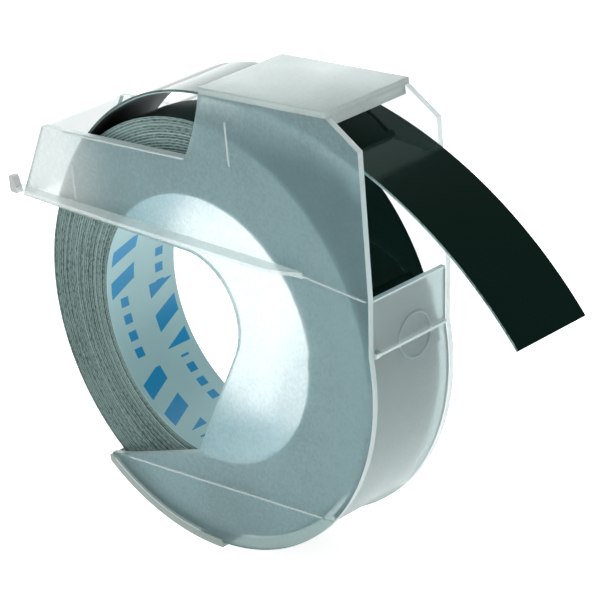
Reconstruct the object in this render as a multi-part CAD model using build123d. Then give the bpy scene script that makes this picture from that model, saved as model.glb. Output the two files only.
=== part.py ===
from build123d import *
from math import acos, atan2, cos, degrees, radians, sin, sqrt
import os

# Refill cassette of embossing tape: a thin open holder, moulded in clear-frosted plastic,
# around a coreless roll of glossy vinyl tape on its release liner. The free end of the
# tape leaves the roll, passes under the holder's roof and hangs out of the exit.
# Millimetres. X runs along the roof towards the exit, Y along the roll's axis away from
# the front side, Z up. The origin is the roll's centre.

# ---- tape ----
tape_width = 9.0
vinyl_thickness = 0.20
liner_thickness = 0.07
roll_bore_radius = 13.03
roll_outer_radius = 20.6

# ---- holder walls ----
plate_thickness = 0.65
side_clearance = 0.31          # between the tape's edge and each side plate
wall_thickness = 0.60
roll_clearance = 0.30          # between the roll and the exit-side wall

# ---- roof ----
roof_headroom = 3.1            # from the top of the roll to the roof's underside
roof_length = 15.45
roof_setback = 2.45            # of the roof's exit edge from the round wall's face
roof_thickness = 0.60
roof_lip_depth = 0.80

# ---- exit side ----
exit_corner_reach = 0.95       # past the round wall, at the top of the straight edge
exit_corner_drop = 2.5         # below the roof's underside
exit_wall_reach = 0.5          # past the round wall, at the top of the exit wall
exit_wall_top_z = 7.4
crease_angle = 5.3             # where the flat strip of the wall meets its round part
exit_wall_end_angle = -46.0

# ---- lower lip ----
lip_thickness = 0.85
lip_start_angle = -133.0
lip_end_angle = -90.4
lip_gap = 0.55                 # between the roll and the lip

# ---- left wing ----
wing_reach = 0.8               # past the round wall's radius, at the wing's tip
wing_tip_z = 9.7
wing_slant = 4.0               # how far the end wall leans over its height
wing_height = 7.6
notch_run = 2.65               # from the notch over the wing to the roof's left edge
notch_bulge = 0.25             # how far the notch's rising edge bows out

# ---- mouth of the side plates ----
mouth_radius = 6.3
mouth_centre_x = -1.0
mouth_centre_z = 1.8
mouth_slope = 60.0             # lean of the straight edge below the mouth's round end
jaw_root_height = 8.75         # of the lower jaw's top edge over the lip's inner radius
jaw_tip_depth = 1.91           # of the corner above the jaw's tip inside that radius
jaw_tip_angle = -128.44

# ---- front ledge, hook and moulded lines ----
ledge_height = 0.7
ledge_rise = 0.4               # of the ledge's underside over the wing's tip
ledge_tip_depth = 0.8          # at the wing's tip
ledge_depth = 1.2              # over the rest of its length
ledge_flare = 14.0             # length over which it deepens
ledge_stop = 7.7               # how far short of the exit wall's top the ledge runs out
ledge_fade = 3.1               # length over which it runs out
ledge_slope = 3.1
hook_thickness = 0.6
hook_rise = 1.0
line_width = 0.22
line_height = 0.10
jaw_step_height = 6.2          # below this height the plates are a little thinner
jaw_step_depth = 0.12
wing_line_inset = 7.6          # from the wing's tip
wing_line_drop = 3.4
roof_line_inset = 2.97         # from the roof's left edge
roof_line_length = 4.2

# ---- free end of the tape ----
leader_curl_radius = 41.55
leader_centre_inset = 0.4      # from the roof's left edge
leader_clearance = 0.30        # under the roof
leader_end_angle = 35.4
splice_overhang = 0.1          # of the loose turn's end before the roof's left edge
splice_gap = 0.40

# ---- loose outer turn ----
loose_centre_x = 2.4
loose_centre_z = 1.5
loose_turn_gap = 0.09          # between its start and the roll

tape_thickness = vinyl_thickness + liner_thickness
half_tape = tape_width / 2
inner_half = half_tape + side_clearance
outer_half = inner_half + plate_thickness
shell_inner_radius = roll_outer_radius + roll_clearance
shell_outer_radius = shell_inner_radius + wall_thickness
lip_inner_radius = roll_outer_radius + lip_gap
lip_outer_radius = lip_inner_radius + lip_thickness
roof_underside = roll_outer_radius + roof_headroom
roof_right = shell_outer_radius - roof_setback
roof_left = roof_right - roof_length
exit_corner_x = shell_outer_radius + exit_corner_reach
exit_corner_z = roof_underside - exit_corner_drop
exit_wall_top_x = shell_outer_radius + exit_wall_reach
wing_tip_x = -shell_outer_radius - wing_reach
wing_top_x = wing_tip_x + wing_slant
wing_top_z = wing_tip_z + wing_height
notch_x = roof_left - notch_run
limb_edge_z = mouth_centre_z + mouth_radius
jaw_root_z = jaw_root_height - lip_inner_radius
jaw_step_z = jaw_step_height - shell_outer_radius
ledge_fade_x = exit_wall_top_x - ledge_stop
ledge_full_x = ledge_fade_x - ledge_fade
wing_line_x = wing_tip_x + wing_line_inset
roof_line_x = roof_left + roof_line_inset
tape_top = roof_underside - leader_clearance
leader_centre_x = roof_left + leader_centre_inset
leader_centre_z = tape_top - leader_curl_radius
loose_radius = tape_top - loose_centre_z
splice_x = roof_left - splice_overhang


def polar(radius, angle):
    return (radius * cos(radians(angle)), radius * sin(radians(angle)))


def slab(face, y_low, y_high):
    """A flat XZ face turned into a solid that spans y_low to y_high."""
    return extrude(Plane.XZ.offset(-y_high) * face, y_high - y_low)


def ring_face(outer, inner, first_angle, last_angle, centre=(0, 0)):
    """The part of a ring between two angles, counter-clockwise from first to last."""
    middle = (first_angle + last_angle) / 2

    def at(radius, angle):
        x, z = polar(radius, angle)
        return (centre[0] + x, centre[1] + z)

    edges = [
        ThreePointArc(at(outer, first_angle), at(outer, middle), at(outer, last_angle)),
        Line(at(outer, last_angle), at(inner, last_angle)),
        ThreePointArc(at(inner, last_angle), at(inner, middle), at(inner, first_angle)),
        Line(at(inner, first_angle), at(outer, first_angle)),
    ]
    return make_face(edges)


def limb_edge_at(x):
    """Lower edge of the plates' upper limb, a straight line out to the wing's tip."""
    run = (mouth_centre_x - x) / (mouth_centre_x - wing_tip_x)
    return limb_edge_z + run * (wing_tip_z - limb_edge_z)


def plate_face():
    """Outline of both side plates: a C that is open towards the left."""
    crease = polar(shell_outer_radius, crease_angle)
    bottom = polar(shell_outer_radius, lip_end_angle)
    lip_end = polar(lip_inner_radius, lip_end_angle)
    lip_start = polar(lip_inner_radius, lip_start_angle)
    shell_middle = polar(shell_outer_radius, (crease_angle + lip_end_angle) / 2)
    lip_middle = polar(lip_inner_radius, (lip_start_angle + lip_end_angle) / 2)
    lean = radians(mouth_slope)
    turn_x = mouth_centre_x + mouth_radius * sin(lean)
    turn_z = mouth_centre_z - mouth_radius * cos(lean)
    jaw_root_x = turn_x - (turn_z - jaw_root_z) * cos(lean) / sin(lean)
    jaw_tip = polar(lip_inner_radius - jaw_tip_depth, jaw_tip_angle)
    limb_start = (mouth_centre_x, limb_edge_z)
    mouth_middle = (mouth_centre_x + mouth_radius * cos(lean / 2),
                    mouth_centre_z + mouth_radius * sin(lean / 2))
    notch_middle = ((notch_x + roof_left) / 2 - notch_bulge, (wing_top_z + roof_underside) / 2)
    edges = [
        Line((roof_left, roof_underside), (roof_right, roof_underside)),
        Line((roof_right, roof_underside), (exit_corner_x, exit_corner_z)),
        Line((exit_corner_x, exit_corner_z), (exit_wall_top_x, exit_wall_top_z)),
        Line((exit_wall_top_x, exit_wall_top_z), crease),
        ThreePointArc(crease, shell_middle, bottom),
        Line(bottom, lip_end),
        ThreePointArc(lip_end, lip_middle, lip_start),
        Line(lip_start, jaw_tip),
        Line(jaw_tip, (jaw_root_x, jaw_root_z)),
        Line((jaw_root_x, jaw_root_z), (turn_x, turn_z)),
        ThreePointArc((turn_x, turn_z), mouth_middle, limb_start),
        Line(limb_start, (wing_tip_x, wing_tip_z)),
        Line((wing_tip_x, wing_tip_z), (wing_top_x, wing_top_z)),
        Line((wing_top_x, wing_top_z), (notch_x, wing_top_z)),
        ThreePointArc((notch_x, wing_top_z), notch_middle, (roof_left, roof_underside)),
    ]
    return make_face(edges)


def strip_face(start, end, width):
    """A straight strip of even width between two points of the XZ plane."""
    length = sqrt((end[0] - start[0]) ** 2 + (end[1] - start[1]) ** 2)
    turn = degrees(atan2(end[1] - start[1], end[0] - start[0]))
    middle = ((start[0] + end[0]) / 2, (start[1] + end[1]) / 2)
    return Pos(*middle) * Rot(0, 0, turn) * Rectangle(length, width)


def side_plate(front):
    """One side plate, thinned below the jaw line; the front one carries moulded lines."""
    side = -1 if front else 1
    low, high = sorted((side * inner_half, side * outer_half))
    plate = slab(plate_face(), low, high)
    jaw = Pos(0, (jaw_step_z - lip_outer_radius)) * Rectangle(4 * lip_outer_radius, 2 * lip_outer_radius)
    step_low, step_high = sorted((side * (outer_half - jaw_step_depth), side * (outer_half + 1)))
    plate -= slab(jaw, step_low, step_high)
    if front:
        ledge_end_z = ledge_middle_z(ledge_fade_x)
        lines = [
            ((wing_line_x, wing_top_z - wing_line_drop), (wing_line_x, ledge_middle_z(wing_line_x) + ledge_height / 2)),
            ((roof_line_x, wing_top_z), (roof_line_x, wing_top_z + roof_line_length)),
            ((ledge_fade_x, ledge_end_z), (exit_wall_top_x - line_width, exit_wall_top_z)),
        ]
        for start, end in lines:
            plate += slab(strip_face(start, end, line_width), -outer_half - line_height, -outer_half)
    return plate


def ledge_middle_z(x):
    """Middle height of the front ledge, which drops gently towards the exit."""
    start = wing_tip_z + ledge_rise + ledge_height / 2
    return start - (x - wing_tip_x) * sin(radians(ledge_slope))


def front_ledge():
    """Guide ledge along the front plate's upper limb; it fades out past the mouth."""
    outline = [(wing_tip_x, -outer_half), (wing_tip_x, -outer_half - ledge_tip_depth),
               (wing_tip_x + ledge_flare, -outer_half - ledge_depth),
               (ledge_full_x, -outer_half - ledge_depth), (ledge_fade_x, -outer_half)]
    bar = extrude(make_face(Polyline(*outline, close=True)), ledge_height)
    middle_x = (wing_tip_x + ledge_fade_x) / 2
    centred = Pos(-middle_x, 0, -ledge_height / 2) * bar
    return Pos(middle_x, 0, ledge_middle_z(middle_x)) * Rot(0, ledge_slope, 0) * centred


def ledge_hook():
    """Small upturned catch at the wing end of the front ledge."""
    low = wing_tip_z + ledge_rise
    high = low + ledge_height + hook_rise
    outline = [(wing_tip_x, low), (wing_tip_x, low + ledge_height), (wing_tip_x - hook_thickness / 2, high),
               (wing_tip_x - hook_thickness * 1.5, high), (wing_tip_x - hook_thickness * 1.5, low)]
    face = make_face(Polyline(*outline, close=True))
    return slab(face, -outer_half - ledge_tip_depth, -outer_half)


def roof():
    """Flat roof across both plates, with a stiffening lip over the exit."""
    width_x = roof_right - roof_left
    centre_x = (roof_right + roof_left) / 2
    panel = Pos(centre_x, 0, roof_underside + roof_thickness / 2) * Box(width_x, 2 * outer_half, roof_thickness)
    lip = Pos(roof_right - wall_thickness / 2, 0, roof_underside - roof_lip_depth / 2)
    return panel + lip * Box(wall_thickness, 2 * inner_half, roof_lip_depth)


def exit_wall():
    """Outer wall on the exit side: a flat strip above the crease, round below it."""
    crease_out = polar(shell_outer_radius, crease_angle)
    crease_in = polar(shell_inner_radius, crease_angle)
    end_out = polar(shell_outer_radius, exit_wall_end_angle)
    end_in = polar(shell_inner_radius, exit_wall_end_angle)
    half_angle = (crease_angle + exit_wall_end_angle) / 2
    edges = [
        Line((exit_wall_top_x - wall_thickness, exit_wall_top_z), (exit_wall_top_x, exit_wall_top_z)),
        Line((exit_wall_top_x, exit_wall_top_z), crease_out),
        ThreePointArc(crease_out, polar(shell_outer_radius, half_angle), end_out),
        Line(end_out, end_in),
        ThreePointArc(end_in, polar(shell_inner_radius, half_angle), crease_in),
        Line(crease_in, (exit_wall_top_x - wall_thickness, exit_wall_top_z)),
    ]
    return slab(make_face(edges), -inner_half, inner_half)


def end_wall():
    """Slanted wall that closes the wing between the two plates."""
    outline = [(wing_tip_x, wing_tip_z), (wing_top_x, wing_top_z),
               (wing_top_x + wall_thickness, wing_top_z), (wing_tip_x + wall_thickness, wing_tip_z)]
    return slab(make_face(Polyline(*outline, close=True)), -inner_half, inner_half)


def lower_lip():
    """Curved lip under the lower jaw, as wide as the whole holder."""
    face = ring_face(lip_outer_radius, lip_inner_radius, lip_start_angle, lip_end_angle)
    return slab(face, -outer_half, outer_half)


def tape_strip(face):
    """A flat XZ face turned into a solid as wide as the tape."""
    return slab(face, -half_tape, half_tape)


def wound_ring(outer, inner):
    """A full ring of wound tape."""
    return tape_strip(Circle(outer) - Circle(inner))


def loose_start_angle():
    """Where the loose turn comes off the roll, seen from the loose turn's own centre."""
    inner = loose_radius - tape_thickness
    offset = sqrt(loose_centre_x ** 2 + loose_centre_z ** 2)
    reach = roll_outer_radius + loose_turn_gap
    turn = acos((reach ** 2 - offset ** 2 - inner ** 2) / (2 * inner * offset))
    return degrees(atan2(loose_centre_z, loose_centre_x) + turn)


def loose_strip(outer_offset, thickness):
    """One layer of the loose turn, from the roll to just before the roof."""
    end_angle = degrees(acos((splice_x - loose_centre_x) / loose_radius))
    outer = loose_radius - outer_offset
    centre = (loose_centre_x, loose_centre_z)
    return tape_strip(ring_face(outer, outer - thickness, end_angle, loose_start_angle(), centre))


def leader_strip(outer_offset, thickness):
    """One layer of the leader, from under the roof to the free end."""
    start_x = splice_x + splice_gap
    tail_angle = degrees(acos((start_x - leader_centre_x) / leader_curl_radius))
    outer = leader_curl_radius - outer_offset
    centre = (leader_centre_x, leader_centre_z)
    return tape_strip(ring_face(outer, outer - thickness, leader_end_angle, tail_angle, centre))


parts = {
    "front_side_plate": side_plate(front=True),
    "rear_side_plate": side_plate(front=False),
    "roof": roof(),
    "exit_wall": exit_wall(),
    "left_end_wall": end_wall(),
    "lower_lip": lower_lip(),
    "front_ledge": front_ledge(),
    "ledge_hook": ledge_hook(),
    "wound_tape": wound_ring(roll_outer_radius, roll_bore_radius + liner_thickness),
    "inner_liner_turn": wound_ring(roll_bore_radius + liner_thickness, roll_bore_radius),
    "loose_turn_vinyl": loose_strip(0, vinyl_thickness),
    "loose_turn_liner": loose_strip(vinyl_thickness, liner_thickness),
    "leader_vinyl": leader_strip(0, vinyl_thickness),
    "leader_liner": leader_strip(vinyl_thickness, liner_thickness),
}

os.makedirs("parts", exist_ok=True)
for name, solid in parts.items():
    export_step(solid, f"parts/{name}.step")
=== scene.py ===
"""Looks of an embossing tape refill: a clear-frosted holder around a roll of glossy black tape.

Sizes in the outlines below are millimetres; every mesh is scaled to metres when it is made.
X runs along the roof towards the exit, Y along the roll's axis, Z up, from the roll's centre.
"""

import math

import bmesh
import bpy
from bpy.props import FloatProperty, FloatVectorProperty, IntProperty, PointerProperty
from mathutils import Matrix, Vector


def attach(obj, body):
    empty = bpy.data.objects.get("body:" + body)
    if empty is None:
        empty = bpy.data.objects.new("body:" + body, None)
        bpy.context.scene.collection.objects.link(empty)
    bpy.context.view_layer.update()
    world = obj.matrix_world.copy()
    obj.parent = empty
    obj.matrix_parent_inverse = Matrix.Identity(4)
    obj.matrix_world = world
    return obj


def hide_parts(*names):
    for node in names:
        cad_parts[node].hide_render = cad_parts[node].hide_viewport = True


bl_info = {
    "name": "Embossing tape refill",
    "version": (1, 0, 0),
    "blender": (4, 5, 0),
    "location": "View3D > Sidebar > Tape refill",
    "description": "Builds a translucent cassette with a spiral roll of embossing tape",
    "category": "Object",
}

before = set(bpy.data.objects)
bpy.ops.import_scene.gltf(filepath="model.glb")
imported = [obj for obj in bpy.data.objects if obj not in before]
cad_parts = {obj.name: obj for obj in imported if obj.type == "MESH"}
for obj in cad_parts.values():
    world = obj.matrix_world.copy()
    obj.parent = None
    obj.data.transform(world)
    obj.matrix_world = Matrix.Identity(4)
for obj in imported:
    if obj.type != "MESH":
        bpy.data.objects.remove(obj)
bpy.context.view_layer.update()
MM = 0.001

# The holder's outline, in X and Z.
ROOF_START, ROOF_END = 3.6, 19.05
EXIT_CORNER, EXIT_FOOT = (22.45, 21.2), (22.0, 7.4)
WING_FOOT, WING_TOP = (-22.3, 9.7), (-18.3, 17.3)
WINDOW_SILL = WING_TOP[1]
CREASE_TURN, WALL_TURN, LIP_START, LIP_END = 5.3, -46.0, -90.4, -133.0
JAW_LINE, JAW_STEP_END = -15.3, -15.45
LEDGE_START, LEDGE_END, LEDGE_TILT = -22.3, 14.3, 3.1

# How the free tape lies, in X and Z.
ROOF_GAP, TAPE_SPLICE = 0.3, 3.5
LOOSE_CENTRE, LOOSE_END, LANDING_TURN = (2.4, 1.5), 145.1, 14.0
LEADER_X = 4.0

# The pale patch of sky that the tape's gloss shows, and the camera.
GLOW_DIRECTION = (-0.74, 0.66, 0.14)
CAMERA_AZIMUTH, CAMERA_ELEVATION, CAMERA_ROLL = 45.50, 21.36, -6.02
CAMERA_TARGET, CAMERA_DISTANCE, CAMERA_LENS = (8.14, 0.0, 3.00), 279.8, 184.644


# ---------------------------------------------------------------- sizes and colours


def length(name, description, default):
    """A size in metres, given here in millimetres."""
    return FloatProperty(name=name, description=description, default=default * MM, unit="LENGTH",
                         precision=5)


def angle(name, description, default):
    """An angle, given here in degrees."""
    return FloatProperty(name=name, description=description, default=math.radians(default),
                         unit="ROTATION")


def colour(name, description, default):
    """A linear colour."""
    return FloatVectorProperty(name=name, description=description, default=default, size=3,
                               min=0.0, max=1.0, subtype="COLOR")


def factor(name, description, default):
    """A share from 0 to 1."""
    return FloatProperty(name=name, description=description, default=default, min=0.0, max=1.0,
                         subtype="FACTOR")


class HolderSizes(bpy.types.PropertyGroup):
    """Sizes of the moulded holder."""

    inner_half: length("Half inner width", "From the middle to a side plate's inner face", 4.81)
    plate: length("Plate thickness", "Thickness of each side plate", 0.65)
    wall: length("Wall thickness", "Thickness of the walls between the plates", 0.60)
    shell: length("Round radius", "Radius of the plates' round edge", 21.5)
    lip_inner: length("Lip inner radius", "Inner radius of the lower lip", 21.15)
    lip_outer: length("Lip outer radius", "Outer radius of the lower lip", 22.0)
    roof_under: length("Roof underside", "Height of the roof's underside", 23.7)
    roof_top: length("Roof top", "Height of the roof's top", 24.3)
    edge_round: length("Edge rounding", "Rounding of the moulded edges", 0.07)
    step: length("Jaw step", "How much thinner the plates are below the jaw line", 0.12)


class TapeSizes(bpy.types.PropertyGroup):
    """Sizes of the tape and its roll."""

    half_width: length("Half width", "Half the tape's width", 4.5)
    vinyl: length("Vinyl thickness", "Thickness of the black layer", 0.20)
    liner: length("Liner thickness", "Thickness of the release liner", 0.07)
    bore: length("Bore radius", "Inner radius of the roll", 13.03)
    outer: length("Roll radius", "Outer radius of the roll", 20.6)
    scatter: length("Side scatter", "How unevenly the turns' edges lie", 0.10)
    turns: IntProperty(name="Turns", description="Turns of tape in the roll", default=28, min=2)
    leader_radius: length("Leader radius", "Curl of the free end, outside", 41.55)
    leader_end: angle("Leader end", "Angle of the cut end on the leader's circle", 35.4)


class Finishes(bpy.types.PropertyGroup):
    """Colours and clearness of the finishes."""

    plastic: colour("End wall", "Body colour of the wing's end wall", (0.40, 0.62, 0.63))
    frosted: colour("Frosted plate", "Body colour of the frosted side plates", (0.92, 0.97, 0.97))
    rim: colour("Plate rim", "Body colour of the thicker rim under the roll", (0.29, 0.37, 0.34))
    # Painted shade: the front plate's colour where the dark gap beside the roll shows through it.
    gap: colour("Plate gap", "Body colour of the front plate where no roll backs it", (0.44, 0.68, 0.72))
    haze: colour("Plate haze", "What the frosted plates scatter by themselves", (0.25, 0.59, 0.66))
    wall: colour("Wall", "Body colour of the exit side's frosted wall", (0.55, 0.66, 0.66))
    roof: colour("Roof", "Body colour of the roof", (0.60, 0.70, 0.68))
    # Also the painted light colour laid on the plates' wing part.
    ledge: colour("Ledge", "Body colour of the clear guide ledge", (0.93, 1.0, 0.98))
    hook: colour("Hook", "Body colour of the ledge's hook", (0.35, 0.36, 0.36))
    lip: colour("Lip", "Body colour of the lower lip", (0.31, 0.39, 0.36))
    # Painted highlight: pale colour laid on moulded edges, raised lines and ribs, standing for the light they
    # catch.
    edge_highlight: colour("Plastic edge", "Colour that moulded edges and rims catch", (0.62, 0.70, 0.69))
    plate_cover: factor("Plate cover", "How much of a plate's face is frosted, the rest being clear", 0.88)
    plate_frost: factor("Plate frost", "How much light goes through the frosted plates", 0.95)
    plate_haze: factor("Haze share", "How much of a plate's face scatters light back", 0.16)
    # Share of the painted highlight on the plates' edges and raised lines.
    edge_highlight_share: factor("Edge share", "How much moulded edges and raised lines scatter back", 0.62)
    vinyl: colour("Vinyl", "The tape's glossy face", (0.0005, 0.005, 0.003))
    cut_edge: colour("Cut edge", "The tape's slit edges on the roll's side", (0.165, 0.228, 0.218))
    liner: colour("Liner", "The release liner", (0.40, 0.60, 0.61))
    shaded_liner: colour("Shaded liner", "The loose turn's liner, away from the light", (0.03, 0.036, 0.032))
    mark: colour("Liner marks", "Plain marks on the liner", (0.002, 0.25, 0.50))
    floor: colour("Floor", "The stage's floor", (0.92, 0.92, 0.92))


GROUPS = (("refill_holder", HolderSizes), ("refill_tape", TapeSizes), ("refill_finish", Finishes))


def holder():
    return bpy.context.scene.refill_holder


def tape():
    return bpy.context.scene.refill_tape


def finish():
    return bpy.context.scene.refill_finish


# ---------------------------------------------------------------- material maths


def feed(links, socket, value):
    """Puts a number, a colour or another node's output into a socket."""
    if isinstance(value, Wire):
        links.new(value.socket, socket)
    elif socket.type == "RGBA" and hasattr(value, "__len__"):
        socket.default_value = (*value[:3], 1.0)
    else:
        socket.default_value = value


def compute(tree, operation, *values):
    """A Math node's result."""
    node = tree.nodes.new("ShaderNodeMath")
    node.operation = operation
    for socket, value in zip(node.inputs, values):
        feed(tree.links, socket, value)
    return Wire(tree, node.outputs[0])


class Wire:
    """A node's output that takes part in arithmetic."""

    def __init__(self, tree, socket):
        self.tree = tree
        self.socket = socket

    def __add__(self, other):
        return compute(self.tree, "ADD", self, other)

    def __sub__(self, other):
        return compute(self.tree, "SUBTRACT", self, other)

    def __rsub__(self, other):
        return compute(self.tree, "SUBTRACT", other, self)

    def __mul__(self, other):
        return compute(self.tree, "MULTIPLY", self, other)

    def __lt__(self, other):
        return compute(self.tree, "LESS_THAN", self, other)

    def __gt__(self, other):
        return compute(self.tree, "GREATER_THAN", self, other)

    __radd__ = __add__
    __rmul__ = __mul__


class Finish:
    """A material with one Principled shader; node() adds anything else."""

    def __init__(self, name):
        self.material = bpy.data.materials.new(name)
        self.material.use_nodes = True
        self.tree = self.material.node_tree
        self.tree.nodes.clear()
        self.shader = self.tree.nodes.new("ShaderNodeBsdfPrincipled")
        self.output = self.tree.nodes.new("ShaderNodeOutputMaterial")
        self.tree.links.new(self.shader.outputs[0], self.output.inputs[0])

    def node(self, kind, settings=None, **sockets):
        """Adds a node: its settings first, then its sockets by name with _ for a space."""
        node = self.tree.nodes.new("ShaderNode" + kind)
        for key, value in (settings or {}).items():
            setattr(node, key, value)
        for key, value in sockets.items():
            feed(self.tree.links, named(node, key), value)
        return Wire(self.tree, node.outputs[0])

    def set(self, **sockets):
        """Sets the shader's own sockets."""
        for key, value in sockets.items():
            feed(self.tree.links, named(self.shader, key), value)

    def layer(self, share, over):
        """Mixes another shader over the first; share is 0 to 1."""
        mix = self.tree.nodes.new("ShaderNodeMixShader")
        for socket, value in zip(mix.inputs, (share, Wire(self.tree, self.shader.outputs[0]), over)):
            feed(self.tree.links, socket, value)
        self.tree.links.new(mix.outputs[0], self.output.inputs[0])

    def math(self, operation, *values):
        """A Math node's result on numbers and other results."""
        return compute(self.tree, operation, *values)

    def size_of(self, value):
        """The value without its sign."""
        return self.math("ABSOLUTE", value)

    def source(self, kind):
        """The piece's own coordinates or normal."""
        return Wire(self.tree, self.tree.nodes.new("ShaderNodeTexCoord").outputs[kind])

    def parts(self, vector):
        """X, Y and Z of a vector."""
        split = self.node("SeparateXYZ", Vector=vector).socket.node
        return [Wire(self.tree, output) for output in split.outputs]

    def place(self):
        """X, Y and Z in the piece's own space, in millimetres."""
        return [value * (1.0 / MM) for value in self.parts(self.source("Object"))]

    def across(self):
        """1 where a face looks along the roll's axis, 0 on edges and round faces."""
        return self.size_of(self.parts(self.source("Normal"))[1])

    def grain(self, scale, detail=3.0, stretch=(1.0, 1.0, 1.0)):
        """Noise from 0 to 1 in the piece's own space; scale is per millimetre."""
        place = self.node("Mapping", Vector=self.source("Object"),
                          Scale=tuple(scale / MM * s for s in stretch))
        return self.node("TexNoise", Vector=place, Scale=1.0, Detail=detail)

    def blend(self, share, first, second):
        """Colour first where share is 0, second where it is 1."""
        node = self.tree.nodes.new("ShaderNodeMix")
        node.data_type = "RGBA"
        for socket, value in zip((node.inputs[0], node.inputs[6], node.inputs[7]), (share, first, second)):
            feed(self.tree.links, socket, value)
        return Wire(self.tree, node.outputs[2])

    def ramp(self, value, low, high, to_low=0.0, to_high=1.0):
        """Value remapped smoothly from low..high, kept within its ends."""
        return self.node("MapRange", {"interpolation_type": "SMOOTHSTEP"}, Value=value, From_Min=low,
                         From_Max=high, To_Min=to_low, To_Max=to_high)

    def bump(self, height, distance):
        """Relief of that depth in millimetres on the shader's normal."""
        self.set(Normal=self.node("Bump", Height=height, Distance=distance * MM, Strength=1.0))


def named(node, key):
    """The input socket whose name is key, with _ standing for a space."""
    return node.inputs[key.replace("_", " ")]


def darker(share, base):
    """A share of a colour."""
    return tuple(share * c for c in base)


def moulded_grain(made):
    """Slow flow marks, clouds and fine speckle of the holder's plastic."""
    return made.grain(0.07, 2.0, (1.0, 1.0, 0.5)), made.grain(0.35, 4.0), made.grain(3.4, 2.0)


def moulded_skin(made, cloud, relief, frost):
    """Satin skin with a fine relief; frost is how much light goes through."""
    made.set(Roughness=made.ramp(cloud, 0.3, 0.7, 0.30, 0.42))
    made.bump(relief + cloud, 0.02)
    made.set(IOR=1.25, Coat_Weight=0.2, Coat_Roughness=0.12, Transmission_Weight=frost)


def plastic_finish(name, cover, base, frost=0.0, highlight_heights=()):
    """Frosted moulded plastic with a speckled skin; each height given last gets a pale painted highlight
    band.
    """
    made = Finish(name)
    height = made.place()[2]
    flow, cloud, speckle = moulded_grain(made)
    body = made.blend(made.ramp(flow + (speckle - 0.5) * 0.5, 0.3, 0.7), darker(0.86, base), base)
    made.set(Base_Color=body)
    made.set(Alpha=(cloud - 0.5) * 0.08 + (flow - 0.5) * 0.06 + cover)
    if highlight_heights:
        # Painted highlight: a pale band at each given height, where a rib or edge catches light.
        pale = sum(made.ramp(made.size_of(height - level), 0.34, 0.16) for level in highlight_heights)
        made.layer(pale * 0.8, made.node("BsdfPrincipled", Base_Color=finish().edge_highlight, Roughness=0.5))
    moulded_skin(made, cloud, speckle * 0.5, frost)
    return made.material


def plate_finish(name, haze_share):
    """Frosted side plate: it scatters bluish, has a painted highlight on its edges and raised lines, a denser
    rim below the roll, painted shade where the dark gap lies behind the front plate, and a painted lighter
    wing.
    """
    look = finish()
    made = Finish(name)
    x, y, z = made.place()
    radius = made.math("SQRT", x * x + z * z)
    outer = (holder().inner_half + holder().plate) / MM
    # Painted highlight: edges and raised lines are marked here for the pale highlight colour and a larger
    # scatter share.
    edge = 1.0 - made.ramp(made.across(), 0.35, 0.9)
    raised = made.ramp(made.size_of(y), outer + 0.01, outer + 0.05)
    pale = made.math("MAXIMUM", edge, raised)
    rim = made.ramp(radius, 19.8, 20.5) * made.ramp(z, -11.0, -17.0)
    flow, cloud, speckle = moulded_grain(made)
    worn = made.ramp(flow + (speckle - 0.5) * 0.9, 0.3, 0.7)
    body = made.blend(worn, darker(0.84, look.frosted), look.frosted)
    # Painted shade: a darker bluish patch on the front plate over the gap between the roll and the exit wall.
    beside = made.math("SQRT", (x - 0.5) * (x - 0.5) + (z - 0.3) * (z - 0.3))
    gap = made.ramp(beside, 20.3, 20.7) * made.ramp(x, 5.0, 9.0) * made.ramp(z, -3.0, 2.0)
    gap = gap * made.ramp(z, 22.0, 18.0) * (y < 0.0)
    made.set(Base_Color=made.blend(rim, made.blend(gap, body, look.gap), look.rim))
    made.set(Alpha=(cloud - 0.5) * 0.10 + (flow - 0.5) * 0.08 + (speckle - 0.5) * 0.10 + look.plate_cover)
    moulded_skin(made, cloud, speckle * 0.7, look.plate_frost)
    # Painted light: the wing part of each plate gets the pale ledge colour and a little more scatter,
    # lightening the roll's shade there.
    wing = made.ramp(x, -8.0, -17.0) * made.ramp(z, 8.0, 9.5)
    haze = made.blend(worn, darker(0.8, look.haze), look.haze)
    scattered = made.blend(pale, made.blend(wing, haze, look.ledge), look.edge_highlight)
    # Scatter share: larger on edges and lines for the painted highlight, smaller where the painted gap shade
    # lies.
    share = made.ramp(pale, 0.0, 1.0, haze_share, look.edge_highlight_share) * (1.0 - gap * (1.0 - pale) * 0.5)
    made.layer(share + wing * 0.08, made.node("BsdfPrincipled", Base_Color=scattered, Roughness=0.5))
    return made.material


def vinyl_finish(name, side):
    """Glossy black vinyl; side is how pale its slit edges look."""
    look = finish()
    made = Finish(name)
    x, y, z = made.place()
    radius = made.math("SQRT", x * x + z * z)
    lanes = made.node("TexNoise", {"noise_dimensions": "1D"}, W=radius * 2.6, Scale=1.0, Detail=2.0)
    turn = made.math("ARCTAN2", z, x)
    lane_place = made.node("CombineXYZ", X=radius * 6.5, Y=turn * 38.0)
    dashes = made.node("TexNoise", Vector=lane_place, Scale=1.0, Detail=3.0)
    patch = made.grain(0.16, 2.0)
    streak = made.ramp(lanes * 0.35 + dashes * 0.85 + (patch - 0.5) * 0.30, 0.42, 0.78, 0.12, 1.55)
    edge = made.ramp(made.across(), 0.5, 0.9)
    cut = made.blend(streak, (0.02, 0.03, 0.03), darker(side, look.cut_edge))
    made.set(Base_Color=made.blend(edge, look.vinyl, cut))
    wave = made.grain(0.09, 2.0)
    fine = made.grain(1.6, 3.0)
    made.set(Roughness=made.ramp(edge, 0.0, 1.0, 0.08, 0.42) + (fine - 0.5) * 0.06)
    made.bump(wave * 2.0 + fine * 0.15, 0.03)
    made.set(IOR=1.45, Specular_IOR_Level=0.30, Specular_Tint=(0.30, 1.0, 0.80))
    return made.material


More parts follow.
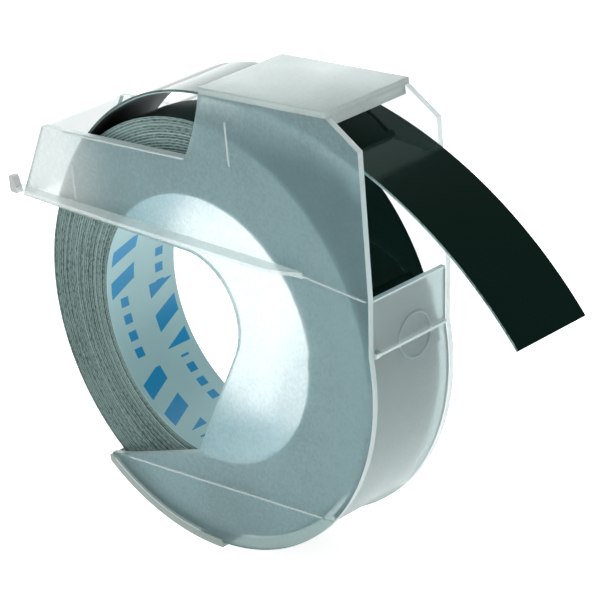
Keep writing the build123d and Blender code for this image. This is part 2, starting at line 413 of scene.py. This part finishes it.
def plain_liner_finish(name):
    """Unprinted liner with painted shade: darkened for the shade it lies in, and painted a little paler near
    the roof.
    """
    made = Finish(name)
    height = made.place()[2]
    # Painted shade that lightens towards the roof.
    made.set(Base_Color=made.blend(made.ramp(height, 19.0, 22.5), finish().shaded_liner, finish().liner))
    made.set(Roughness=0.4, IOR=1.45)
    return made.material


def liner_finish(name, centre, radius):
    """Smooth pale release liner with plain blue bars and dashes on its inner face."""
    look = finish()
    made = Finish(name)
    x, y, z = made.place()
    along = made.math("ARCTAN2", z - centre[1], x - centre[0]) * radius

    def wave(value, period):
        return made.math("FRACT", value * (1.0 / period) + 50.0)

    def band(value, low, high):
        return (value > low) * (value < high)

    block = wave(along, 17.0)
    near = band(y, -3.9, -0.9)
    far = band(y, 0.9, 3.9)
    bars = band(wave(along + y * 0.45, 3.4), 0.0, 0.5)
    dashes = band(wave(along, 1.7), 0.0, 0.55)
    thin_near = band(y, -2.9, -1.9)
    thin_far = band(y, 1.9, 2.9)
    first = band(block, 0.04, 0.48)
    second = band(block, 0.54, 0.98)
    big = near * first * bars + far * second * bars
    small = thin_far * first * dashes + thin_near * second * dashes
    printed = made.node("Clamp", Value=big + small)
    cloud = made.grain(0.3, 3.0)
    plain = made.blend(cloud, darker(0.88, look.liner), look.liner)
    made.set(Base_Color=made.blend(printed, plain, look.mark))
    made.set(Roughness=made.ramp(cloud, 0.2, 0.8, 0.30, 0.42))
    made.bump(cloud, 0.02)
    made.set(IOR=1.45)
    return made.material


# ---------------------------------------------------------------- mesh making


def new_object(name, mesh):
    """An object in the scene at the origin."""
    made = bpy.data.objects.new(name, mesh)
    bpy.context.collection.objects.link(made)
    return made


def mesh_object(name, shape):
    """Scales a shape in millimetres to metres, cleans it and makes it an object."""
    bmesh.ops.scale(shape, vec=(MM, MM, MM), verts=shape.verts)
    bmesh.ops.recalc_face_normals(shape, faces=shape.faces)
    mesh = bpy.data.meshes.new(name)
    shape.to_mesh(mesh)
    shape.free()
    smooth(mesh)
    return new_object(name, mesh)


def smooth(mesh, sharp=32.0):
    """Smooth shading with hard edges where faces turn by more than sharp degrees."""
    mesh.shade_smooth()
    mesh.set_sharp_from_angle(angle=math.radians(sharp))


def arc(centre, radius, first, last, steps):
    """Points on an arc, from first to last degrees."""
    turns = (math.radians(first + (last - first) * i / steps) for i in range(steps + 1))
    return [(centre[0] + radius * math.cos(t), centre[1] + radius * math.sin(t)) for t in turns]


def bowed(start, end, bulge, steps=8):
    """Points from start to end that bow out sideways by bulge."""
    run = Vector(end) - Vector(start)
    side = Vector((-run.y, run.x)).normalized()
    shares = (i / steps for i in range(steps + 1))
    return [tuple(Vector(start) + run * s + side * (4.0 * bulge * s * (1.0 - s))) for s in shares]


def add_prism(shape, points, low, high):
    """A closed outline in X and Z that spans low to high along Y."""
    rings = [[shape.verts.new((x, y, z)) for x, z in points] for y in (low, high)]
    count = len(points)
    for i in range(count):
        j = (i + 1) % count
        shape.faces.new((rings[0][i], rings[0][j], rings[1][j], rings[1][i]))
    shape.faces.new(rings[0])
    shape.faces.new(list(reversed(rings[1])))


def add_loft(shape, sections):
    """Closed sections of equal count joined in order, with caps at both ends."""
    rings = [[shape.verts.new(p) for p in section] for section in sections]
    count = len(rings[0])
    for near, far in zip(rings, rings[1:]):
        for i in range(count):
            j = (i + 1) % count
            shape.faces.new((near[i], near[j], far[j], far[i]))
    shape.faces.new(rings[0])
    shape.faces.new(list(reversed(rings[-1])))


def soften(made, width):
    """Rounds the outer edges of a moulded piece."""
    bevel = made.modifiers.new("rounded_edges", "BEVEL")
    bevel.width = width
    bevel.segments = 2
    bevel.limit_method = "ANGLE"
    bevel.angle_limit = math.radians(35.0)
    bevel.use_clamp_overlap = True
    bevel.miter_outer = "MITER_ARC"


def finish_piece(made, material, body, node):
    """Gives a piece its material, ties it to its body and hides its CAD node."""
    made.data.materials.clear()
    made.data.materials.append(material)
    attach(made, body)
    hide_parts(node)


# ---------------------------------------------------------------- holder shapes


def crease_point(radius):
    """Where the flat strip of the exit wall meets its round part."""
    return arc((0.0, 0.0), radius, CREASE_TURN, CREASE_TURN, 1)[0]


def plate_outline():
    """Outline of a side plate: a C that is open to the left."""
    size = holder()
    shell, lip = size.shell / MM, size.lip_inner / MM
    under = size.roof_under / MM
    points = [(ROOF_START, under), (ROOF_END, under), EXIT_CORNER, EXIT_FOOT]
    points += arc((0.0, 0.0), shell, CREASE_TURN, LIP_START, 90)
    points += arc((0.0, 0.0), lip, LIP_START, LIP_END, 40)
    points += [(-11.96, -15.07), (-1.92, -12.4)]
    points += arc((-1.0, 1.8), 6.3, -30.0, 90.0, 44)
    points += [WING_FOOT, WING_TOP]
    points += bowed((0.95, WINDOW_SILL), (ROOF_START, under), -0.25)
    return points[:-1]


def ledge_height(x):
    """Middle height of the front ledge at x."""
    return 10.45 - (x - LEDGE_START) * math.sin(math.radians(LEDGE_TILT))


def straight(start, end):
    """Four points on a line, close together near its ends."""
    return [tuple(Vector(start).lerp(Vector(end), share)) for share in (0.0, 0.06, 0.94, 1.0)]


def add_line(shape, points, width, rise, face):
    """A fine raised line along points on the front plate's face, lower at both ends."""
    sections = []
    for i, (x, z) in enumerate(points):
        run = Vector(points[min(i + 1, len(points) - 1)]) - Vector(points[max(i - 1, 0)])
        side = Vector((-run.y, run.x)).normalized() * width / 2.0
        top = face - rise * (0.2 if i in (0, len(points) - 1) else 1.0)
        sections.append([(x + side.x, face + 0.02, z + side.y), (x + side.x * 0.5, top, z + side.y * 0.5),
                         (x - side.x * 0.5, top, z - side.y * 0.5), (x - side.x, face + 0.02, z - side.y)])
    add_loft(shape, sections)


def make_plate(name, side):
    """A side plate with the thinner jaw; side is -1 for the front one."""
    size = holder()
    inner = size.inner_half / MM
    outer = inner + size.plate / MM
    shape = bmesh.new()
    add_prism(shape, plate_outline(), *sorted((side * inner, side * outer)))
    for height in (JAW_LINE, JAW_STEP_END):
        everything = list(shape.verts) + list(shape.edges) + list(shape.faces)
        bmesh.ops.bisect_plane(shape, geom=everything, plane_co=(0, 0, height), plane_no=(0, 0, 1))
    for vert in shape.verts:
        if vert.co.z < JAW_STEP_END + 0.05 and abs(vert.co.y) > outer - 0.01:
            vert.co.y -= side * size.step / MM
    if side < 0:
        wing_x, window_x, below_sill = -14.7, 6.57, WINDOW_SILL - 0.18
        lines = (((wing_x, 14.0), (wing_x, ledge_height(wing_x) + 0.5)),
                 ((window_x, WINDOW_SILL), (window_x, 21.5)),
                 ((LEDGE_END - 0.4, ledge_height(LEDGE_END)), (21.8, EXIT_FOOT[1])),
                 ((-11.9, JAW_LINE), (13.9, JAW_LINE)),
                 ((-15.5, below_sill), (0.85, below_sill)))
        for start, end in lines:
            add_line(shape, straight(start, end), 0.28, 0.10, -outer)
        brim = arc((0.0, 0.0), size.lip_inner / MM - 0.1, -132.0, -97.0, 24)
        add_line(shape, brim, 0.36, 0.22, -outer + size.step / MM)
    made = mesh_object(name, shape)
    soften(made, size.edge_round * 1.6)
    return made


def make_roof():
    """Flat roof with rounded top edges, drawn down over the exit."""
    size = holder()
    inner = size.inner_half / MM
    outer = inner + size.plate / MM
    under, top, wall = size.roof_under / MM, size.roof_top / MM, size.wall / MM
    shape = bmesh.new()
    add_prism(shape, [(ROOF_START, under), (ROOF_START, top), (ROOF_END, top), (ROOF_END, under)],
              -outer, outer)
    rounded = [e for e in shape.edges if max(v.co.z for v in e.verts) > top - 0.01]
    bmesh.ops.bevel(shape, geom=rounded, offset=1.6 * size.edge_round / MM, segments=3, profile=0.5,
                    affect="EDGES")
    start, drop = ROOF_END - wall, under - 0.8
    add_prism(shape, [(start, under), (ROOF_END, under), (ROOF_END, drop), (start, drop)], -inner, inner)
    return mesh_object("roof_panel", shape)


def exit_wall_outline():
    """Section of the exit-side wall: a flat strip above a round one."""
    size = holder()
    shell = size.shell / MM
    inner = shell - size.wall / MM
    return ([(EXIT_FOOT[0] - size.wall / MM, EXIT_FOOT[1]), EXIT_FOOT]
            + arc((0.0, 0.0), shell, CREASE_TURN, WALL_TURN, 60)
            + arc((0.0, 0.0), inner, WALL_TURN, CREASE_TURN, 60))


def wall_surface(height, lift):
    """Point on the exit wall's outer face at a height, lifted off it."""
    shell = holder().shell / MM
    crease = crease_point(shell)
    if height > crease[1]:
        share = (height - crease[1]) / (EXIT_FOOT[1] - crease[1])
        return crease[0] + share * (EXIT_FOOT[0] - crease[0]) + lift, height
    turn = math.asin(height / shell)
    return (shell + lift) * math.cos(turn), (shell + lift) * math.sin(turn)


def add_rib(shape, height, half, lift, low, high):
    """A raised rib across the exit wall's outer face at a height."""
    levels = ((-half, -0.02), (-half * 0.5, lift), (half * 0.5, lift), (half, -0.02))
    section = [wall_surface(height + reach, rise) for reach, rise in levels]
    add_prism(shape, section, low, high)


def make_exit_wall():
    """The wall on the exit side, with a plain round mould mark."""
    inner = holder().inner_half / MM
    shape = bmesh.new()
    add_prism(shape, exit_wall_outline(), -inner, inner)
    middle, offset, radius, width, steps = 2.2, 0.6, 2.1, 0.2, 64
    rings = []
    for i in range(steps):
        turn = math.tau * i / steps
        ring = []
        for reach, lift in ((-width, -0.02), (-width * 0.5, 0.14), (width * 0.5, 0.14), (width, -0.02)):
            across = offset + (radius + reach) * math.cos(turn)
            x, z = wall_surface(middle + (radius + reach) * math.sin(turn), lift)
            ring.append(shape.verts.new((x, across, z)))
        rings.append(ring)
    for i in range(steps):
        near, far = rings[i], rings[(i + 1) % steps]
        for a, b in ((0, 1), (1, 2), (2, 3), (3, 0)):
            shape.faces.new((near[a], near[b], far[b], far[a]))
    crease = crease_point(holder().shell / MM)[1]
    add_rib(shape, crease, 0.22, 0.18, -inner + 0.05, inner - 0.05)
    add_rib(shape, crease + 0.1, 0.45, 0.35, -inner + 0.05, -inner + 0.6)
    made = mesh_object("exit_side_wall", shape)
    soften(made, holder().edge_round)
    return made


def make_end_wall():
    """Slanted wall that closes the wing between the plates."""
    size = holder()
    inner, wall = size.inner_half / MM, size.wall / MM
    shape = bmesh.new()
    add_prism(shape, [WING_FOOT, WING_TOP, (WING_TOP[0] + wall, WING_TOP[1]),
                      (WING_FOOT[0] + wall, WING_FOOT[1])], -inner, inner)
    made = mesh_object("wing_end_wall", shape)
    soften(made, size.edge_round)
    return made


def make_lip():
    """Curved lip under the lower jaw, thinner towards its tip."""
    size = holder()
    inner, outer = size.lip_inner / MM, size.lip_outer / MM
    half = size.inner_half / MM + size.plate / MM
    tip = arc((0.0, 0.0), (inner + outer) / 2.0, LIP_END, LIP_END, 1)[:1]
    points = (arc((0.0, 0.0), outer, LIP_START, LIP_END + 1.2, 48) + tip
              + arc((0.0, 0.0), inner, LIP_END + 0.4, LIP_START, 48))
    shape = bmesh.new()
    add_prism(shape, points, -half, half)
    made = mesh_object("lower_lip_wall", shape)
    soften(made, size.edge_round)
    return made


def make_ledge():
    """Flared guide ledge on the front plate."""
    size = holder()
    face = -size.inner_half / MM - size.plate / MM
    shape = bmesh.new()
    sections = []
    stations = ((LEDGE_START, 0.8), (-15.0, 1.0), (-8.3, 1.2), (2.0, 1.2), (10.0, 1.2), (11.2, 1.12),
                (12.2, 0.8), (13.2, 0.4), (LEDGE_END, 0.04))
    for x, depth in stations:
        z = ledge_height(x)
        sections.append([(x, face + 0.02, z + 0.35), (x, face - 0.45 * depth, z + 0.26),
                         (x, face - depth, z + 0.22), (x, face - depth, z - 0.16),
                         (x, face - 0.6 * depth, z - 0.24), (x, face + 0.02, z - 0.35)])
    add_loft(shape, sections)
    made = mesh_object("guide_ledge", shape)
    soften(made, size.edge_round)
    return made


def make_hook():
    """Upturned hook at the ledge's end by the wing."""
    size = holder()
    face = -size.inner_half / MM - size.plate / MM
    shape = bmesh.new()
    add_prism(shape, [(-22.25, 10.1), (-22.3, 10.75), (-22.6, 11.78), (-23.2, 11.78), (-23.2, 10.3),
                      (-23.0, 10.1)], face - 0.8, face + 0.02)
    made = mesh_object("ledge_hook", shape)
    soften(made, size.edge_round)
    return made


# ---------------------------------------------------------------- tape shapes


def spiral_tree():
    """Geometry nodes that wind a flat strip into a spiral round Y."""
    tree = bpy.data.node_groups.new("wound_strip", "GeometryNodeTree")
    inputs = (("Start Radius", "NodeSocketFloat"), ("End Radius", "NodeSocketFloat"),
              ("Turns", "NodeSocketFloat"), ("Thickness", "NodeSocketFloat"), ("Width", "NodeSocketFloat"),
              ("Scatter", "NodeSocketFloat"), ("Finish", "NodeSocketMaterial"))
    for name, kind in inputs:
        tree.interface.new_socket(name, in_out="INPUT", socket_type=kind)
    tree.interface.new_socket("Geometry", in_out="OUTPUT", socket_type="NodeSocketGeometry")
    given = tree.nodes.new("NodeGroupInput")
    result = tree.nodes.new("NodeGroupOutput")

    def node(kind, settings=None, **sockets):
        """Adds a node; a socket is given by name, or as n0, n1 and so on by its place."""
        made = tree.nodes.new(kind)
        for key, value in (settings or {}).items():
            setattr(made, key, value)
        for key, value in sockets.items():
            socket = made.inputs[int(key[1:])] if key[0] == "n" and key[1:].isdigit() else named(made, key)
            if isinstance(value, bpy.types.NodeSocket):
                tree.links.new(value, socket)
            else:
                socket.default_value = value
        return made

    spiral = node("GeometryNodeCurveSpiral", Resolution=120, Rotations=given.outputs["Turns"],
                  Start_Radius=given.outputs["Start Radius"],
                  End_Radius=given.outputs["End Radius"], Height=0.0)
    upright = node("GeometryNodeSetCurveNormal", {"mode": "Z_UP"}, Curve=spiral.outputs[0])
    where = node("GeometryNodeInputPosition")
    reach = node("ShaderNodeVectorMath", {"operation": "LENGTH"}, n0=where.outputs[0])
    noise = node("ShaderNodeTexNoise", {"noise_dimensions": "1D"}, W=reach.outputs["Value"],
                 Scale=2600.0, Detail=2.0)
    centred = node("ShaderNodeMath", {"operation": "SUBTRACT"}, n0=noise.outputs[0], n1=0.5)
    shift = node("ShaderNodeMath", {"operation": "MULTIPLY"}, n0=centred.outputs[0],
                 n1=given.outputs["Scatter"])
    lift = node("ShaderNodeCombineXYZ", Z=shift.outputs[0])
    placed = node("GeometryNodeSetPosition", Geometry=upright.outputs[0], Offset=lift.outputs[0])
    section = node("GeometryNodeCurvePrimitiveQuadrilateral", Width=given.outputs["Thickness"],
                   Height=given.outputs["Width"])
    swept = node("GeometryNodeCurveToMesh", Curve=placed.outputs[0], Profile_Curve=section.outputs[0],
                 Fill_Caps=True)
    turned = node("GeometryNodeTransform", Geometry=swept.outputs[0],
                  Rotation=(math.radians(90.0), 0.0, 0.0))
    real = node("GeometryNodeRealizeInstances", Geometry=turned.outputs[0])
    painted = node("GeometryNodeSetMaterial", Geometry=real.outputs[0], Material=given.outputs["Finish"])
    tree.links.new(painted.outputs[0], result.inputs[0])
    return tree


def wind(name, tree, material, **values):
    """Runs the spiral tree with those inputs and keeps its result as a plain mesh."""
    carrier = new_object(name + "_carrier", bpy.data.meshes.new(name + "_carrier"))
    modifier = carrier.modifiers.new("wound", "NODES")
    modifier.node_group = tree
    sockets = {item.name: item.identifier for item in tree.interface.items_tree if item.in_out == "INPUT"}
    for key, value in values.items():
        modifier[sockets[key.replace("_", " ")]] = value
    modifier[sockets["Finish"]] = material
    graph = bpy.context.evaluated_depsgraph_get()
    mesh = bpy.data.meshes.new_from_object(carrier.evaluated_get(graph))
    mesh.name = name
    bpy.data.objects.remove(carrier)
    smooth(mesh, 40.0)
    return new_object(name, mesh)


def landing(end, depth):
    """Leads a loose turn from its end down to the roll; depth is how far inside its face."""
    roll = tape().outer / MM + 0.03 - depth
    start = math.atan2(end[1], end[0])
    height = math.hypot(*end) - roll
    steps, points = 16, []
    for i in range(1, steps + 1):
        share = i / steps
        turn = start + math.radians(LANDING_TURN) * share
        radius = roll + height * (1.0 - share) ** 2
        points.append((math.cos(turn) * radius, math.sin(turn) * radius))
    return points


def make_strip(name, centre, outer, thickness, first, last, half_width, depth=None):
    """A curved length of tape with square slit edges; with a depth it lands on the roll."""
    shape = bmesh.new()
    upper = arc(centre, outer, first, last, 72)
    lower = arc(centre, outer - thickness, first, last, 72)
    if depth is not None:
        upper += landing(upper[-1], depth)
        lower += landing(lower[-1], depth + thickness)
    add_prism(shape, upper + lower[::-1], -half_width, half_width)
    return mesh_object(name, shape)


# ---------------------------------------------------------------- operators


class REFILL_OT_plates(bpy.types.Operator):
    """Builds both side plates of the holder"""

    bl_idname = "refill.plates"
    bl_label = "Side plates"

    def execute(self, context):
        haze = finish().plate_haze
        for name, side, node, share in (("front_plate", -1, "front_side_plate", haze),
                                        ("rear_plate", 1, "rear_side_plate", 0.25 * haze)):
            made = make_plate(name, side)
            finish_piece(made, plate_finish("frosted_" + name, share), "holder", node)
        return {"FINISHED"}


class REFILL_OT_walls(bpy.types.Operator):
    """Builds the roof, the exit wall, the wing's end wall and the lower lip"""

    bl_idname = "refill.walls"
    bl_label = "Walls"

    def execute(self, context):
        look = finish()
        crease = crease_point(holder().shell / MM)[1]
        rows = ((make_roof, "roof", 0.95, look.roof, 0.35, ()),
                # The exit wall's crease rib and top edge get a painted highlight.
                (make_exit_wall, "exit_wall", 0.92, look.wall, 0.72, (crease, EXIT_FOOT[1] + 0.05)),
                (make_end_wall, "left_end_wall", 0.3, look.plastic, 0.0, ()),
                (make_lip, "lower_lip", 0.8, look.lip, 0.0, ()))
        for maker, node, cover, base, frost, highlight_heights in rows:
            material = plastic_finish("frosted_" + node, cover, base, frost, highlight_heights)
            finish_piece(maker(), material, "holder", node)
        return {"FINISHED"}


class REFILL_OT_ledge(bpy.types.Operator):
    """Builds the guide ledge with its hook"""

    bl_idname = "refill.ledge"
    bl_label = "Guide ledge"

    def execute(self, context):
        look = finish()
        ledge = plastic_finish("frosted_ledge", 0.4, look.ledge)
        finish_piece(make_ledge(), ledge, "holder", "front_ledge")
        hook = plastic_finish("frosted_hook", 0.6, look.hook)
        finish_piece(make_hook(), hook, "holder", "ledge_hook")
        return {"FINISHED"}


class REFILL_OT_roll(bpy.types.Operator):
    """Winds the vinyl and its liner into the roll"""

    bl_idname = "refill.roll"
    bl_label = "Wound roll"

    def execute(self, context):
        size = tape()
        tree = spiral_tree()
        turns = size.turns - 1.0
        vinyl = wind("wound_vinyl", tree, vinyl_finish("vinyl_wound", 1.0), Turns=turns,
                     Start_Radius=size.bore + size.liner + size.vinyl / 2,
                     End_Radius=size.outer - size.vinyl / 2,
                     Thickness=size.vinyl, Width=size.half_width * 2, Scatter=size.scatter)
        finish_piece(vinyl, vinyl.data.materials[0], "roll", "wound_tape")
        printed = liner_finish("liner_wound", (0.0, 0.0), size.bore / MM)
        liner = wind("wound_liner", tree, printed, Turns=turns,
                     Start_Radius=size.bore + size.liner / 2,
                     End_Radius=size.outer - size.vinyl - size.liner / 2,
                     Thickness=size.liner, Width=size.half_width * 2 - 0.08 * MM, Scatter=size.scatter)
        finish_piece(liner, liner.data.materials[0], "roll", "inner_liner_turn")
        bpy.data.node_groups.remove(tree)
        return {"FINISHED"}


class REFILL_OT_free_tape(bpy.types.Operator):
    """Builds the loose outer turn and the leader"""

    bl_idname = "refill.free_tape"
    bl_label = "Loose turn and leader"

    def execute(self, context):
        size = tape()
        top = holder().roof_under / MM - ROOF_GAP
        vinyl, liner, half = size.vinyl / MM, size.liner / MM, size.half_width / MM
        loose_radius = top - LOOSE_CENTRE[1]
        loose_start = math.degrees(math.acos((TAPE_SPLICE - LOOSE_CENTRE[0]) / loose_radius))
        radius = size.leader_radius / MM
        centre = (LEADER_X, top - radius)
        leader_end = math.degrees(size.leader_end)
        leader_tail = math.degrees(math.acos((TAPE_SPLICE + 0.05 - LEADER_X) / radius))

        made = make_strip("loose_vinyl", LOOSE_CENTRE, loose_radius, vinyl, loose_start, LOOSE_END, half, 0.0)
        black = vinyl_finish("vinyl_loose_vinyl", 0.5)
        finish_piece(made, black, "roll", "loose_turn_vinyl")
        made = make_strip("loose_liner", LOOSE_CENTRE, loose_radius - vinyl, liner, loose_start, LOOSE_END,
                          half, vinyl)
        plain = plain_liner_finish("liner_loose_liner")
        finish_piece(made, plain, "roll", "loose_turn_liner")

        made = make_strip("leader_tape", centre, radius, vinyl, leader_end, leader_tail, half)
        black = vinyl_finish("vinyl_leader_tape", 1.2)
        finish_piece(made, black, "leader", "leader_vinyl")
        made = make_strip("leader_backing", centre, radius - vinyl, liner, leader_end, leader_tail, half)
        printed = liner_finish("liner_leader_backing", centre, radius - vinyl)
        finish_piece(made, printed, "leader", "leader_liner")
        return {"FINISHED"}


class REFILL_OT_stage(bpy.types.Operator):
    """Sets the floor, the lights, the sky and the camera"""

    bl_idname = "refill.stage"
    bl_label = "Stage"

    def execute(self, context):
        make_floor()
        make_lights()
        make_camera()
        return {"FINISHED"}


def make_floor():
    """Wide pale floor just under the holder, bright enough to read as white."""
    shape = bmesh.new()
    bmesh.ops.create_grid(shape, x_segments=8, y_segments=8, size=2500.0)
    below = -holder().lip_outer / MM - 0.1
    bmesh.ops.translate(shape, vec=(0.0, 0.0, below), verts=shape.verts)
    floor = mesh_object("pale_floor", shape)
    made = Finish("pale_floor")
    made.set(Base_Color=finish().floor, Roughness=0.9, Specular_IOR_Level=0.0)
    made.set(Emission_Color=(1.0, 1.0, 1.0), Emission_Strength=0.85)
    floor.data.materials.append(made.material)


def area_light(name, place, target, size, power):
    """A soft square light that looks at a target; lengths in millimetres."""
    data = bpy.data.lights.new(name, "AREA")
    data.shape = "SQUARE"
    data.size = size * MM
    data.energy = power
    lamp = new_object(name, data)
    lamp.location = Vector(place) * MM
    lamp.rotation_mode = "QUATERNION"
    lamp.rotation_quaternion = (Vector(target) - Vector(place)).to_track_quat("-Z", "Y")


def make_lights():
    """Soft studio light: a key from the front left, a top light and a dim even sky."""
    area_light("key", (-260.0, -330.0, 330.0), (0, 0, 0), 260.0, 0.75)
    area_light("top", (60.0, 120.0, 420.0), (0, 0, 10), 300.0, 0.75)
    area_light("fill", (380.0, -120.0, 160.0), (0, 0, 0), 240.0, 0.2)
    area_light("leader_gloss", (-124.0, 326.0, 370.0), (21.0, 0, 20.0), 200.0, 0.08)
    world = bpy.data.worlds.new("studio_sky")
    world.use_nodes = True
    nodes, links = world.node_tree.nodes, world.node_tree.links
    sky = nodes["Background"]
    direction = nodes.new("ShaderNodeTexCoord")
    towards = nodes.new("ShaderNodeVectorMath")
    towards.operation = "DOT_PRODUCT"
    towards.inputs[1].default_value = Vector(GLOW_DIRECTION).normalized()
    glow = nodes.new("ShaderNodeMapRange")
    glow.interpolation_type = "SMOOTHSTEP"
    for key, value in (("From Min", 0.80), ("From Max", 0.97), ("To Min", 0.28), ("To Max", 2.6)):
        glow.inputs[key].default_value = value
    links.new(direction.outputs["Generated"], towards.inputs[0])
    links.new(towards.outputs["Value"], glow.inputs["Value"])
    links.new(glow.outputs[0], sky.inputs["Strength"])
    sky.inputs["Color"].default_value = (0.95, 1.0, 1.0, 1.0)
    bpy.context.scene.world = world
    bpy.context.scene.view_settings.view_transform = "Standard"


def make_camera():
    """Camera from the front right and a little above, rolled slightly."""
    azimuth, elevation, roll = map(math.radians, (CAMERA_AZIMUTH, CAMERA_ELEVATION, CAMERA_ROLL))
    back = Vector((math.sin(azimuth) * math.cos(elevation), -math.cos(azimuth) * math.cos(elevation),
                   math.sin(elevation)))
    level = Vector((math.cos(azimuth), math.sin(azimuth), 0.0))
    upright = back.cross(level)
    right = math.cos(roll) * level + math.sin(roll) * upright
    up = -math.sin(roll) * level + math.cos(roll) * upright
    data = bpy.data.cameras.new("studio_camera")
    data.sensor_width = 36.0
    data.lens = CAMERA_LENS
    data.clip_start = 0.01
    camera = new_object("studio_camera", data)
    turn = Matrix((right, up, back)).transposed().to_4x4()
    place = Vector(CAMERA_TARGET) + back * CAMERA_DISTANCE
    camera.matrix_world = Matrix.Translation(place * MM) @ turn
    bpy.context.scene.camera = camera


OPERATORS = (REFILL_OT_plates, REFILL_OT_walls, REFILL_OT_ledge, REFILL_OT_roll, REFILL_OT_free_tape,
             REFILL_OT_stage)


class REFILL_PT_panel(bpy.types.Panel):
    """Lists the refill's pieces, sizes and colours"""

    bl_idname = "REFILL_PT_panel"
    bl_label = "Tape refill"
    bl_space_type = "VIEW_3D"
    bl_region_type = "UI"
    bl_category = "Tape refill"

    def draw(self, context):
        for operator in OPERATORS:
            self.layout.operator(operator.bl_idname)
        for attribute, group in GROUPS:
            box = self.layout.box()
            for key in group.__annotations__:
                box.prop(getattr(context.scene, attribute), key)


CLASSES = (*(group for _, group in GROUPS), *OPERATORS, REFILL_PT_panel)


def register():
    """Registers every class and hangs the settings on the scene."""
    for cls in CLASSES:
        bpy.utils.register_class(cls)
    for attribute, group in GROUPS:
        setattr(bpy.types.Scene, attribute, PointerProperty(type=group))


def unregister():
    """Undoes register."""
    for attribute, _ in GROUPS:
        delattr(bpy.types.Scene, attribute)
    for cls in reversed(CLASSES):
        bpy.utils.unregister_class(cls)


def main():
    """Builds every piece in order."""
    register()
    for operator in OPERATORS:
        area, name = operator.bl_idname.split(".")
        getattr(getattr(bpy.ops, area), name)()


if __name__ == "__main__":
    main()
